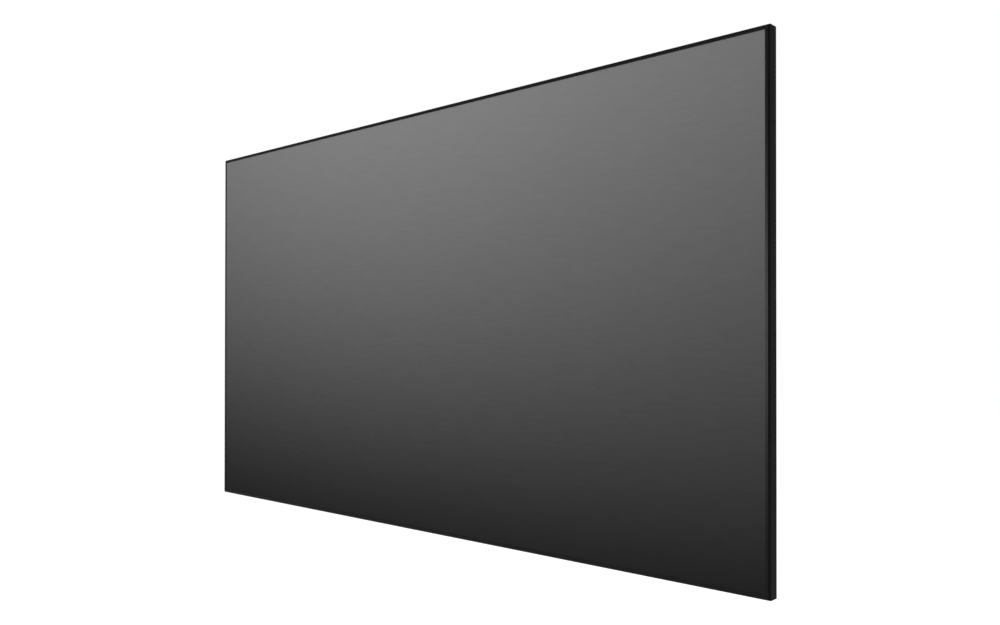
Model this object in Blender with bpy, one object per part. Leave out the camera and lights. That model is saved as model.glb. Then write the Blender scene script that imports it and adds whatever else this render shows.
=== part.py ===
"""A fixed-frame projector screen for a wall, modelled at rest in metres with +Z up.

The picture side looks along -Y and the wall is at +Y. Snap-on bezels cover an aluminium tube frame, the
screen fabric wraps round that frame, and wire hooks pull the rods in its hems towards a groove at the back.
Every profile is drawn as a section of (u, v) points: u runs inwards from the bezel's outer face and v runs
back from the bezel's front face.
"""

import math
from collections import namedtuple

import bmesh
import bpy
from mathutils import Matrix, Vector

# Picture and bezel
VIEW_WIDTH = 2.214
VIEW_HEIGHT = 1.245
BEZEL_FACE = 0.011
BEZEL_CHAMFER = 0.0042
BEZEL_ROUND = 0.0004
BEZEL_DEPTH = 0.032
BEZEL_WALL = 0.0016
BEZEL_LIP = 0.0014
SNAP_BEAD = 0.0022
SNAP_BEAD_LAND = 0.0006
SNAP_BEAD_RAMP = 0.0018
SEAT_GAP = 0.0003

# Frame rail
RAIL_WALL = 0.0015
CHAMBER_WIDTH = 0.030
CHAMBER_DEPTH = 0.0185
CHAMBER_REAR_RADIUS = 0.002
FABRIC_BAND = 0.006
FACE_RELIEF = 0.0012
REAR_INSET = 0.0008
GROOVE_WIDTH = 0.0035
GROOVE_BEAD = 0.0025
HANG_RIB = 0.0053

# Fabric, rods and hooks
FABRIC_THICK = 0.0005
FLAP_END = 0.070
FLAP_RUN = 0.0083
HEM_TAIL = 0.0027
HEM_TAIL_RADIUS = 0.00175
ROD_DIAMETER = 0.004
ROD_STANDOUT = 0.002
HOOK_WIRE = 0.0016
HOOK_GRIP = 205.0
HOOK_TIP = 0.0004
HOOK_WINDOW = 0.014
HOOK_CORNER = 0.110
LONG_HOOKS = 9
SHORT_HOOKS = 5

# Joints of the frame
JOINT_BAR_WIDTH = 0.018
JOINT_BAR_THICK = 0.005
CORNER_LEG = 0.075
SPLICE_LENGTH = 0.200
JOINT_SCREW_HOLE = 0.0055
JOINT_THREAD_HOLE = 0.0042
CORNER_SCREWS = (0.040, 0.062)
SPLICE_SCREWS = (-0.075, -0.025, 0.025, 0.075)

# Centre support
SUPPORT_WIDTH = 0.030
SUPPORT_DEPTH = 0.012
SUPPORT_WALL = 0.0012
SUPPORT_FRONT = 0.008
CLIP_THICK = 0.002
CLIP_FLANGE = 0.0127
CLIP_EAR = 0.027
CLIP_HOLE = 0.0045

# Wall brackets
WALL_STANDOFF = 0.004
BRACKET_STEEL = 0.002
BRACKET_LENGTH = 0.060
BRACKET_HEIGHT = 0.034
BRACKET_BEND = 0.0005
BRACKET_LIP_GAP = 0.0008
BRACKET_CORNER = 0.005
BRACKET_SLOT_WIDTH = 0.0055
BRACKET_SLOT_RUN = 0.0065
BRACKET_SLOT_SPACING = 0.036
BRACKET_FROM_CORNER = 0.368

# Facets on round forms
BEND_STEPS = 5
SMALL_BEND_STEPS = 3
EDGE_STEPS = 2
CURL_STEPS = 6
HOOK_STEPS = 5
HOLE_SIDES = 12
ROD_SIDES = 10

# Sizes that follow
WIDTH = VIEW_WIDTH + 2 * BEZEL_FACE
HEIGHT = VIEW_HEIGHT + 2 * BEZEL_FACE
WALL_PLANE = BEZEL_DEPTH + WALL_STANDOFF
MITRE_SHIFT = SEAT_GAP / math.sqrt(2)
BEZEL_DIAGONAL = BEZEL_CHAMFER + BEZEL_WALL * math.sqrt(2)

# The widest front bend that keeps the seat gap to the inside of the bezel's chamfer
FABRIC_BEND = (
    BEZEL_DIAGONAL + SEAT_GAP * math.sqrt(2) - BEZEL_WALL - BEZEL_LIP - 2 * SEAT_GAP
) / (2 - math.sqrt(2))
FABRIC_SIDE = BEZEL_WALL + SEAT_GAP + FABRIC_THICK / 2
FABRIC_FRONT = BEZEL_LIP + SEAT_GAP + FABRIC_THICK / 2
FABRIC_BEND_MID = FABRIC_BEND - FABRIC_THICK / 2
PANEL_INSET = FABRIC_SIDE + FABRIC_BEND_MID

RAIL_SIDE = BEZEL_WALL + 2 * SEAT_GAP + FABRIC_THICK
RAIL_FRONT = BEZEL_LIP + 2 * SEAT_GAP + FABRIC_THICK
RAIL_BEND = FABRIC_BEND - FABRIC_THICK - SEAT_GAP
RAIL_INNER = RAIL_SIDE + CHAMBER_WIDTH
CHAMBER_BACK = RAIL_FRONT + CHAMBER_DEPTH
RAIL_BACK = BEZEL_DEPTH - REAR_INSET
GROOVE_EDGE = RAIL_INNER - 2 * RAIL_WALL - GROOVE_WIDTH
RIB_EDGE = RAIL_INNER + HANG_RIB

FLAP_BACK = CHAMBER_BACK + SEAT_GAP + FABRIC_THICK / 2
FLAP_BEND = CHAMBER_REAR_RADIUS + SEAT_GAP + FABRIC_THICK / 2
SLEEVE_RADIUS = ROD_DIAMETER / 2 + SEAT_GAP + FABRIC_THICK / 2
ROD_CENTRE = (RAIL_SIDE + CHAMBER_REAR_RADIUS + FLAP_RUN, FLAP_BACK + SLEEVE_RADIUS)
HEM_TAIL_BACK = FLAP_BACK + FABRIC_THICK + SEAT_GAP

JOINT_BAR_BACK = CHAMBER_BACK - RAIL_WALL - SEAT_GAP
JOINT_BAR_CENTRE = (ROD_CENTRE[0] + SLEEVE_RADIUS + GROOVE_EDGE) / 2

BRACKET_REACH = WIDTH / 2 - BRACKET_FROM_CORNER
TOP_BRACKETS = (-BRACKET_REACH, 0, BRACKET_REACH)
BOTTOM_BRACKETS = (-BRACKET_REACH, BRACKET_REACH)

# Each side turns the next corner at its +X end
Side = namedtuple("Side", "turn length reach pieces hooks corner")
SIDES = {
    "top": Side(0, WIDTH, HEIGHT / 2, ("top_left", "top_right"), LONG_HOOKS, "top_right"),
    "right": Side(90, HEIGHT, WIDTH / 2, ("right",), SHORT_HOOKS, "bottom_right"),
    "bottom": Side(180, WIDTH, HEIGHT / 2, ("bottom_right", "bottom_left"), LONG_HOOKS, "bottom_left"),
    "left": Side(270, HEIGHT, WIDTH / 2, ("left",), SHORT_HOOKS, "top_left"),
}

FINISHES = {
    "black_anodised": ((0.012, 0.012, 0.011), 0.42, 0.6),
    "rail_anodised": ((0.020, 0.020, 0.021), 0.5, 0.6),
    "screen_grey": ((0.110, 0.110, 0.112), 0.8, 0.0),
    "glass_fibre": ((0.62, 0.60, 0.50), 0.5, 0.0),
    "spring_steel": ((0.50, 0.50, 0.50), 0.3, 1.0),
    "zinc_steel": ((0.42, 0.43, 0.45), 0.35, 1.0),
    "bracket_black": ((0.016, 0.016, 0.017), 0.55, 0.3),
}


def arc(centre, radius, start, end, steps):
    """Points on an arc in a section; 0 degrees points inwards and 90 degrees points back."""
    angles = [math.radians(start + (end - start) * i / steps) for i in range(steps + 1)]
    return [
        (centre[0] + radius * math.cos(a), centre[1] + radius * math.sin(a)) for a in angles
    ]


def side_frame(side):
    """The place of a side: its origin is the middle of the bezel's outer front edge."""
    turn = Matrix.Rotation(math.radians(side.turn), 4, "Y")
    return turn @ Matrix.Translation((0, -WALL_PLANE / 2, side.reach))


def make_empty(name, matrix):
    empty = bpy.data.objects.new(name, None)
    bpy.context.scene.collection.objects.link(empty)
    empty.matrix_world = matrix
    return empty


def finish_of(name, finish):
    colour, roughness, metallic = FINISHES[finish]
    material = bpy.data.materials.new(name + "_finish")
    material.use_nodes = True
    shader = material.node_tree.nodes["Principled BSDF"]
    shader.inputs["Base Color"].default_value = (*colour, 1)
    shader.inputs["Roughness"].default_value = roughness
    shader.inputs["Metallic"].default_value = metallic
    material.diffuse_color = (*colour, 1)
    return material


def add_object(name, data, finish, parent, place=(0, 0, 0)):
    obj = bpy.data.objects.new(name, data)
    bpy.context.scene.collection.objects.link(obj)
    obj.parent = parent
    obj.location = place
    if finish is not None:
        if not obj.material_slots:
            obj.data.materials.append(None)
        obj.material_slots[0].link = "OBJECT"
        obj.material_slots[0].material = finish_of(name, finish)
    return obj


def to_mesh(name, shape, smooth=False):
    bmesh.ops.recalc_face_normals(shape, faces=shape.faces)
    mesh = bpy.data.meshes.new(name)
    shape.to_mesh(mesh)
    shape.free()
    if smooth:
        mesh.shade_smooth()
        mesh.set_sharp_from_angle(angle=math.radians(35))
    return mesh


def sweep_section(name, loops, start, end, smooth=True):
    """A mesh of the section's loops swept along X; each end is (x at u = 0, x gained per metre of u)."""
    shape = bmesh.new()
    edges = []
    for loop in loops:
        ring = [shape.verts.new((0, v, -u)) for u, v in loop]
        edges += [shape.edges.new(pair) for pair in zip(ring, ring[1:] + ring[:1])]
    filled = bmesh.ops.triangle_fill(shape, edges=edges, use_beauty=True)["geom"]
    cap = [part for part in filled if isinstance(part, bmesh.types.BMFace)]
    swept = bmesh.ops.extrude_face_region(shape, geom=cap)["geom"]
    far = {part for part in swept if isinstance(part, bmesh.types.BMVert)}
    for vert in shape.verts:
        at, slope = end if vert in far else start
        vert.co.x = at - slope * vert.co.z
    return to_mesh(name, shape, smooth)


def spans(side):
    """The two ends of each length of profile on a side: mitres at the corners, a butt joint between halves."""
    first = (-side.length / 2 + MITRE_SHIFT, 1)
    last = (side.length / 2 - MITRE_SHIFT, -1)
    if len(side.pieces) == 1:
        return [(first, last)]
    return [(first, (-SEAT_GAP / 2, 0)), ((SEAT_GAP / 2, 0), last)]


def cut(obj, name, shape, place=(0, 0, 0)):
    """Cut a closed shape, given in the frame of the object's parent, out of the object."""
    cutter = add_object(name, to_mesh(name, shape), None, obj.parent, place)
    cutter.hide_render = True
    cutter.display_type = "WIRE"
    modifier = obj.modifiers.new(name, "BOOLEAN")
    modifier.operation = "DIFFERENCE"
    modifier.solver = "EXACT"
    modifier.object = cutter


def add_drill(shape, centre, diameter, length, axis):
    """Add a closed cylinder to a cutter's shape, centred on a point and lying along an axis."""
    turn = Vector((0, 0, 1)).rotation_difference(Vector(axis)).to_matrix().to_4x4()
    bmesh.ops.create_cone(
        shape,
        cap_ends=True,
        segments=HOLE_SIDES,
        radius1=diameter / 2,
        radius2=diameter / 2,
        depth=length,
        matrix=Matrix.Translation(centre) @ turn,
    )


def bezel_section():
    bead = CHAMBER_BACK + 2 * SEAT_GAP + FABRIC_THICK
    chamfer_end = BEZEL_CHAMFER + BEZEL_ROUND * math.tan(math.radians(22.5))
    return [
        *arc((BEZEL_ROUND, chamfer_end), BEZEL_ROUND, 180, 225, EDGE_STEPS),
        *arc((chamfer_end, BEZEL_ROUND), BEZEL_ROUND, 225, 270, EDGE_STEPS),
        *arc((BEZEL_FACE - BEZEL_ROUND, BEZEL_ROUND), BEZEL_ROUND, 270, 360, EDGE_STEPS),
        (BEZEL_FACE, BEZEL_LIP),
        (BEZEL_DIAGONAL - BEZEL_LIP, BEZEL_LIP),
        (BEZEL_WALL, BEZEL_DIAGONAL - BEZEL_WALL),
        (BEZEL_WALL, bead),
        (BEZEL_WALL + SNAP_BEAD, bead),
        (BEZEL_WALL + SNAP_BEAD, bead + SNAP_BEAD_LAND),
        (BEZEL_WALL, bead + SNAP_BEAD_LAND + SNAP_BEAD_RAMP),
        (BEZEL_WALL, BEZEL_DEPTH),
        (0, BEZEL_DEPTH),
    ]


def rail_loops():
    """The rail's outline, with the hook groove and hanging rib at the back, and its closed chamber."""
    bend = (RAIL_SIDE + RAIL_BEND, RAIL_FRONT + RAIL_BEND)
    rear = (RAIL_SIDE + CHAMBER_REAR_RADIUS, CHAMBER_BACK - CHAMBER_REAR_RADIUS)
    lip = RAIL_BACK - RAIL_WALL
    band = bend[0] + FABRIC_BAND
    outline = [
        (RAIL_INNER, RAIL_FRONT + FACE_RELIEF),
        (band + FACE_RELIEF, RAIL_FRONT + FACE_RELIEF),
        (band, RAIL_FRONT),
        *arc(bend, RAIL_BEND, 270, 180, BEND_STEPS),
        *arc(rear, CHAMBER_REAR_RADIUS, 180, 90, SMALL_BEND_STEPS),
        (RAIL_INNER - RAIL_WALL, CHAMBER_BACK),
        (RAIL_INNER - RAIL_WALL, lip),
        (GROOVE_EDGE + RAIL_WALL, lip),
        (GROOVE_EDGE + RAIL_WALL, lip - GROOVE_BEAD),
        (GROOVE_EDGE, lip - GROOVE_BEAD),
        (GROOVE_EDGE, RAIL_BACK),
        (RIB_EDGE, RAIL_BACK),
        (RIB_EDGE, lip),
        (RAIL_INNER, lip),
    ]
    inner = RAIL_INNER - RAIL_WALL
    back = CHAMBER_BACK - RAIL_WALL
    bend_inside = (bend[0], bend[1] + FACE_RELIEF)
    chamber = [
        (inner, back),
        (RAIL_SIDE + RAIL_WALL, back),
        *reversed(arc(bend_inside, RAIL_BEND - RAIL_WALL, 270, 180, BEND_STEPS)),
        (inner, RAIL_FRONT + FACE_RELIEF + RAIL_WALL),
    ]
    return [outline, chamber]


def joint_screws(side):
    """Places along a side where screws hold the rails to the bars inside them."""
    corners = [side.length / 2 - at for at in CORNER_SCREWS]
    places = [-x for x in corners] + corners
    return places + list(SPLICE_SCREWS) if len(side.pieces) > 1 else places


def profiles_of_side(side, parent):
    """The bezels and rails of one side, with the rails drilled for their joint screws."""
    back_wall = CHAMBER_BACK - RAIL_WALL / 2
    for piece, (start, end) in zip(side.pieces, spans(side)):
        bezel = "bezel_" + piece
        mesh = sweep_section(bezel, [bezel_section()], start, end, smooth=False)
        add_object(bezel, mesh, "black_anodised", parent)
        rail_name = "rail_" + piece
        mesh = sweep_section(rail_name, rail_loops(), start, end)
        rail = add_object(rail_name, mesh, "rail_anodised", parent)
        drills = bmesh.new()
        for x in joint_screws(side):
            if start[0] < x < end[0]:
                spot = (x, back_wall, -JOINT_BAR_CENTRE)
                add_drill(drills, spot, JOINT_SCREW_HOLE, 2 * RAIL_WALL, (0, 1, 0))
        cut(rail, rail_name + "_screw_holes", drills)


def drill_bar(bar, places):
    """Threaded holes through a bar that lies inside the rails."""
    drills = bmesh.new()
    middle = JOINT_BAR_BACK - JOINT_BAR_THICK / 2
    for x, z in places:
        add_drill(drills, (x, middle, z), JOINT_THREAD_HOLE, 2 * JOINT_BAR_THICK, (0, 1, 0))
    cut(bar, bar.name + "_threads", drills)


def splice_bar(name, parent):
    near = JOINT_BAR_CENTRE - JOINT_BAR_WIDTH / 2
    far = JOINT_BAR_CENTRE + JOINT_BAR_WIDTH / 2
    front = JOINT_BAR_BACK - JOINT_BAR_THICK
    section = [(near, front), (far, front), (far, JOINT_BAR_BACK), (near, JOINT_BAR_BACK)]
    half = SPLICE_LENGTH / 2
    bar = add_object(name, sweep_section(name, [section], (-half, 0), (half, 0)), "zinc_steel", parent)
    drill_bar(bar, [(x, -JOINT_BAR_CENTRE) for x in SPLICE_SCREWS])


def corner_bracket(name, parent):
    """An L of flat bar; its parent stands at the frame's outer corner, and its legs run to -X and -Z."""
    near = JOINT_BAR_CENTRE - JOINT_BAR_WIDTH / 2
    far = JOINT_BAR_CENTRE + JOINT_BAR_WIDTH / 2
    outline = [(near, near), (CORNER_LEG, near), (CORNER_LEG, far), (far, far), (far, CORNER_LEG)]
    outline.append((near, CORNER_LEG))
    shape = bmesh.new()
    front = JOINT_BAR_BACK - JOINT_BAR_THICK
    ring = [shape.verts.new((-a, front, -b)) for a, b in outline]
    face = shape.faces.new(ring)
    swept = bmesh.ops.extrude_face_region(shape, geom=[face])["geom"]
    lifted = [part for part in swept if isinstance(part, bmesh.types.BMVert)]
    bmesh.ops.translate(shape, verts=lifted, vec=(0, JOINT_BAR_THICK, 0))
    bar = add_object(name, to_mesh(name, shape), "zinc_steel", parent)
    legs = [(-at, -JOINT_BAR_CENTRE) for at in CORNER_SCREWS]
    drill_bar(bar, legs + [(z, x) for x, z in legs])


def hook_places(side):
    end = side.length / 2 - HOOK_CORNER
    return [-end + 2 * end * i / (side.hooks - 1) for i in range(side.hooks)]


def flap_path():
    """Mid-line of the fabric round the rail, from the front panel's edge to where the hem begins."""
    front = (PANEL_INSET, FABRIC_FRONT + FABRIC_BEND_MID)
    rear = (FABRIC_SIDE + FLAP_BEND, FLAP_BACK - FLAP_BEND)
    path = arc(front, FABRIC_BEND_MID, 270, 180, BEND_STEPS)[1:]
    path += arc(rear, FLAP_BEND, 180, 90, SMALL_BEND_STEPS)
    return path + [(ROD_CENTRE[0], FLAP_BACK)]


def hem_path():
    """Mid-line of the hem: round the rod and back on to the flap."""
    path = arc(ROD_CENTRE, SLEEVE_RADIUS, -90, 180, CURL_STEPS)[1:]
    turn = (ROD_CENTRE[0] - SLEEVE_RADIUS - HEM_TAIL_RADIUS, HEM_TAIL_BACK + HEM_TAIL_RADIUS)
    path += arc(turn, HEM_TAIL_RADIUS, 0, -90, SMALL_BEND_STEPS)
    return path + [(turn[0] - HEM_TAIL, HEM_TAIL_BACK)]


def pull_edge(shape, edge, frame, path):
    """Extrude an edge of the fabric from point to point of a path; the edge keeps its place along the side."""
    inverse = frame.inverted()
    for u, v in path:
        grown = bmesh.ops.extrude_edge_only(shape, edges=[edge])["geom"]
        verts = [part for part in grown if isinstance(part, bmesh.types.BMVert)]
        for vert in verts:
            vert.co = frame @ Vector(((inverse @ vert.co).x, v, -u))
        edge = shape.edges.get(verts)
    return edge


def split_edge(shape, edge, frame, places):
    """Split an edge at places along its side and return the lengths between them in order."""
    inverse = frame.inverted()
    first, last = sorted(edge.verts, key=lambda vert: (inverse @ vert.co).x)
    lengths = []
    for x in places:
        start, end = (inverse @ first.co).x, (inverse @ last.co).x
        _, middle = bmesh.utils.edge_split(edge, first, (x - start) / (end - start))
        lengths.append(shape.edges.get((first, middle)))
        edge = shape.edges.get((middle, last))
        first = middle
    return lengths + [edge]


def screen_fabric(parent):
    """One sheet: a flat panel and four flaps with hems, notched at the corners and open at each hook."""
    shape = bmesh.new()
    ring, flaps = [], []
    for side in SIDES.values():
        frame = side_frame(side)
        corner = side.length / 2 - PANEL_INSET
        flap = side.length / 2 - FLAP_END
        verts = [
            shape.verts.new(frame @ Vector((x, FABRIC_FRONT, -PANEL_INSET)))
            for x in (-corner, -flap, flap)
        ]
        ring += verts
        flaps.append((side, frame, verts[1:]))
    shape.faces.new(ring)
    for side, frame, verts in flaps:
        edge = pull_edge(shape, shape.edges.get(verts), frame, flap_path())
        half = HOOK_WINDOW / 2
        windows = [x + reach for x in hook_places(side) for reach in (-half, half)]
        lengths = split_edge(shape, edge, frame, windows)
        for hem in lengths[::2]:
            pull_edge(shape, hem, frame, hem_path())
    mesh = to_mesh("screen_fabric", shape, smooth=True)
    fabric = add_object("screen_fabric", mesh, "screen_grey", parent)
    skin = fabric.modifiers.new("thickness", "SOLIDIFY")
    skin.thickness = FABRIC_THICK
    skin.offset = 0
    skin.use_even_offset = True


def hook_path():
    """Mid-line of a wire hook: round the rod, under the groove's bead and up behind it."""
    wire = SEAT_GAP + HOOK_WIRE / 2
    bead = (GROOVE_EDGE + RAIL_WALL, RAIL_BACK - RAIL_WALL - GROOVE_BEAD)
    path = arc(ROD_CENTRE, ROD_DIAMETER / 2 + wire, HOOK_GRIP, 90, HOOK_STEPS)
    path.append((GROOVE_EDGE, bead[1] - wire))
    path += arc(bead, wire, -90, 0, SMALL_BEND_STEPS)
    return path + [(bead[0] + wire, RAIL_BACK - RAIL_WALL - HOOK_TIP)]


def hook_wire():
    curve = bpy.data.curves.new("hook_wire", "CURVE")
    curve.dimensions = "3D"
    curve.bevel_depth = HOOK_WIRE / 2
    curve.bevel_resolution = 1
    curve.use_fill_caps = True
    points = hook_path()
    spline = curve.splines.new("POLY")
    spline.points.add(len(points) - 1)
    for point, (u, v) in zip(spline.points, points):
        point.co = (0, v, -u, 1)
    return curve


def tension_of_side(name, side, parent, wire):
    """The rod in one side's hem, and the hooks that pull it inwards."""
    half = side.length / 2 - FLAP_END + ROD_STANDOUT
    rod = arc(ROD_CENTRE, ROD_DIAMETER / 2, 0, 360, ROD_SIDES)[:-1]
    mesh = sweep_section("rod_" + name, [rod], (-half, 0), (half, 0))
    add_object("tension_rod_" + name, mesh, "glass_fibre", parent)
    for number, x in enumerate(hook_places(side), 1):
        add_object(f"hook_{name}_{number}", wire, "spring_steel", parent, (x, 0, 0))


def support_bar(parent):
    """A box tube that props the top and bottom rails apart; it runs along its own X, turned upright."""
    near, far = -SUPPORT_WIDTH / 2, SUPPORT_WIDTH / 2
    front, back = SUPPORT_FRONT, SUPPORT_FRONT + SUPPORT_DEPTH
    wall = SUPPORT_WALL
    outline = [(near, front), (far, front), (far, back), (near, back)]
    bore = [
        (near + wall, front + wall),
        (far - wall, front + wall),
        (far - wall, back - wall),
        (near + wall, back - wall),
    ]
    half = HEIGHT / 2 - RAIL_INNER - 2 * SEAT_GAP - CLIP_THICK
    bar = add_object(
        "support_bar",
        sweep_section("support_bar", [outline, bore], (-half, 0), (half, 0)),
        "rail_anodised",
        parent,
    )
    bar.location.y = -WALL_PLANE / 2
    bar.rotation_euler.y = math.radians(-90)
    drills = bmesh.new()
    bolt = HEIGHT / 2 - RAIL_INNER - CLIP_EAR / 2
    middle = SUPPORT_FRONT + SUPPORT_DEPTH / 2 - WALL_PLANE / 2
    for z in (-bolt, bolt):
        add_drill(drills, (0, middle, z), CLIP_HOLE, 2 * SUPPORT_WIDTH, (1, 0, 0))
    cut(bar, "support_bar_bolt_holes", drills)


def support_clip(name, parent):
    """A flanged fork that seats one end of the support bar on a rail."""
    base = RAIL_INNER + SEAT_GAP
    shelf = base + CLIP_THICK
    ear = base + CLIP_EAR
    inside = SUPPORT_WIDTH / 2 + SEAT_GAP
    outside = inside + CLIP_THICK
    flange = outside + CLIP_FLANGE
    half_outline = [
        (flange, base),
        (flange, shelf),
        (outside, shelf),
        (outside, ear),
        (inside, ear),
        (inside, shelf),
    ]
    outline = half_outline + [(-x, u) for x, u in reversed(half_outline)]
    shape = bmesh.new()
    ring = [shape.verts.new((x, SUPPORT_FRONT, -u)) for x, u in outline]
    face = shape.faces.new(ring)
    swept = bmesh.ops.extrude_face_region(shape, geom=[face])["geom"]
    lifted = [part for part in swept if isinstance(part, bmesh.types.BMVert)]
    bmesh.ops.translate(shape, verts=lifted, vec=(0, SUPPORT_DEPTH, 0))
    clip = add_object(name, to_mesh(name, shape), "zinc_steel", parent)
    middle = SUPPORT_FRONT + SUPPORT_DEPTH / 2
    drills = bmesh.new()
    for x in (-1, 1):
        spot = (x * (outside + CLIP_FLANGE / 2), middle, -(base + CLIP_THICK / 2))
        add_drill(drills, spot, CLIP_HOLE, 2 * CLIP_THICK, (0, 0, 1))
    bolt = RAIL_INNER + CLIP_EAR / 2
    add_drill(drills, (0, middle, -bolt), CLIP_HOLE, 3 * outside, (1, 0, 0))
    cut(clip, name + "_holes", drills)


def bracket_section():
    """A strip bent to a J: the plate on the wall, a shelf under the rail's rib, and a lip in front of it."""
    shelf = RIB_EDGE + SEAT_GAP
    plate = WALL_PLANE - BRACKET_STEEL
    lip = RAIL_BACK - RAIL_WALL - SEAT_GAP
    inner, outer = BRACKET_BEND, BRACKET_BEND + BRACKET_STEEL
    under = shelf + BRACKET_STEEL
    top = under - BRACKET_HEIGHT
    lip_edge = RAIL_INNER + BRACKET_LIP_GAP
    return [
        (top, plate),
        *arc((shelf - inner, plate - inner), inner, 90, 0, SMALL_BEND_STEPS),
        *arc((shelf - inner, lip + inner), inner, 0, -90, SMALL_BEND_STEPS),
        (lip_edge, lip),
        (lip_edge, lip - BRACKET_STEEL),
        *arc((under - outer, lip - BRACKET_STEEL + outer), outer, -90, 0, SMALL_BEND_STEPS),
        *arc((under - outer, WALL_PLANE - outer), outer, 0, 90, SMALL_BEND_STEPS),
        (top, WALL_PLANE),
    ]


def bracket_mesh():
    """The J section swept to its length, with the plate's two free corners rounded."""
    half = BRACKET_LENGTH / 2
    mesh = sweep_section("wall_bracket", [bracket_section()], (-half, 0), (half, 0))
    shape = bmesh.new()
    shape.from_mesh(mesh)
    top = max(vert.co.z for vert in shape.verts)
    corners = [
        edge
        for edge in shape.edges
        if all(vert.co.z > top - SEAT_GAP for vert in edge.verts)
        and edge.verts[0].co.x * edge.verts[1].co.x > 0
    ]
    bmesh.ops.bevel(
        shape,
        geom=corners,
        offset=BRACKET_CORNER,
        segments=SMALL_BEND_STEPS,
        profile=0.5,
        affect="EDGES",
        material=-1,
    )
    return to_mesh("wall_bracket", shape, smooth=True)


def slot_shape():
    """Cutter for the bracket's two upright slots."""
    shape = bmesh.new()
    plate = WALL_PLANE - BRACKET_STEEL / 2
    centre = RIB_EDGE + SEAT_GAP + BRACKET_STEEL - BRACKET_HEIGHT / 2
    radius, run = BRACKET_SLOT_WIDTH / 2, BRACKET_SLOT_RUN / 2
    steps = HOLE_SIDES // 2
    ends = arc((-centre + run, 0), radius, -90, 90, steps) + arc((-centre - run, 0), radius, 90, 270, steps)
    for x in (-BRACKET_SLOT_SPACING / 2, BRACKET_SLOT_SPACING / 2):
        ring = [shape.verts.new((x + across, plate - BRACKET_STEEL, z)) for z, across in ends]
        face = shape.faces.new(ring)
        swept = bmesh.ops.extrude_face_region(shape, geom=[face])["geom"]
        lifted = [part for part in swept if isinstance(part, bmesh.types.BMVert)]
        bmesh.ops.translate(shape, verts=lifted, vec=(0, 2 * BRACKET_STEEL, 0))
    return shape


def wall_brackets(name, places, parent, mesh):
    for number, x in enumerate(places, 1):
        bracket = add_object(f"wall_bracket_{name}_{number}", mesh, "bracket_black", parent, (x, 0, 0))
        cut(bracket, bracket.name + "_slots", slot_shape(), (x, 0, 0))


def main():
    for obj in list(bpy.data.objects):
        bpy.data.objects.remove(obj)
    root = make_empty("screen", Matrix.Identity(4))
    frames = {}
    wire = hook_wire()
    for name, side in SIDES.items():
        frames[name] = make_empty("side_" + name, side_frame(side))
        profiles_of_side(side, frames[name])
        tension_of_side(name, side, frames[name], wire)
        at_corner = side_frame(side) @ Matrix.Translation((side.length / 2, 0, 0))
        corner = make_empty("corner_" + side.corner, at_corner)
        corner_bracket("corner_bracket_" + side.corner, corner)
    screen_fabric(root)
    support_bar(root)
    bracket = bracket_mesh()
    for name, places in (("top", TOP_BRACKETS), ("bottom", BOTTOM_BRACKETS)):
        splice_bar("splice_bar_" + name, frames[name])
        support_clip("support_clip_" + name, frames[name])
        wall_brackets(name, places, frames[name], bracket)


main()
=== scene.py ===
# A fixed-frame projector screen, seen from its right: the finishes, the sheet with its hem,
# the rods and hooks, the small fasteners, the light and the camera.
# Distances are metres. On each side of the frame, u runs inwards from the bezel's outer face
# and v runs back from its front face.

import math

import bmesh
import bpy
from mathutils import Matrix, Vector


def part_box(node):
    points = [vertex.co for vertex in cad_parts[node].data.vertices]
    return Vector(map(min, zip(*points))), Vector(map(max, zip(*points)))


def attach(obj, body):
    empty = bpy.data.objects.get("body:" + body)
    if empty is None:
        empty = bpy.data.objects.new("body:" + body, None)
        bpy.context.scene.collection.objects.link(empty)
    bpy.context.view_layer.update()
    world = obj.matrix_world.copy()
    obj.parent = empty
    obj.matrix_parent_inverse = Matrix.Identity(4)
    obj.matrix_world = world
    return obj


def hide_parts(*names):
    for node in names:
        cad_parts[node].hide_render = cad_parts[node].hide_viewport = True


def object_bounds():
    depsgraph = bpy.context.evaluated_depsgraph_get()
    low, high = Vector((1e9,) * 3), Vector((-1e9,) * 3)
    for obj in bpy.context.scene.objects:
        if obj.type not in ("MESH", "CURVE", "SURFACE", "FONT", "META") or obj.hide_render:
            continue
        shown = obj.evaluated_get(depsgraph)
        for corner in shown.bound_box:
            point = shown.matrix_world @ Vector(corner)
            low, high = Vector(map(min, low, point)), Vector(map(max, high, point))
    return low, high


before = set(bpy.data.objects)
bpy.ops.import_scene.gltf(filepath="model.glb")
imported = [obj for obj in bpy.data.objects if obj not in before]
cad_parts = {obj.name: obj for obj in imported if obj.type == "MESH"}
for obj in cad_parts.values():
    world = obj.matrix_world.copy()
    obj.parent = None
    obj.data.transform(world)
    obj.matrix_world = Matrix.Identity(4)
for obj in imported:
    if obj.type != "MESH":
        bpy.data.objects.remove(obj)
low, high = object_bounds()
size = high - low
print("frame loaded:", len(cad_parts), "nodes")

clearance = 0.0003  # what touching pieces keep between them

# Each side is drawn as if it were the top one, then turned about Y into its place
sides = {
    "top": {"turn": 0, "length": size.x, "reach": high.z, "hooks": 9, "grain": "X"},
    "right": {"turn": 90, "length": size.z, "reach": high.x, "hooks": 5, "grain": "Z"},
    "bottom": {"turn": 180, "length": size.x, "reach": -low.z, "hooks": 9, "grain": "X"},
    "left": {"turn": 270, "length": size.z, "reach": -low.x, "hooks": 5, "grain": "Z"},
}
for side in sides.values():
    turn = Matrix.Rotation(math.radians(side["turn"]), 4, "Y")
    side["place"] = turn @ Matrix.Translation((0, low.y, side["reach"]))


def boxOnSide(side, node):
    # lowest and highest (x, v, -u) of a node in its side's own drawing
    inverse = side["place"].inverted()
    corners = [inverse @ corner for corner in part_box(node)]
    return [Vector(map(pick, *corners)) for pick in (min, max)]


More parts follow.
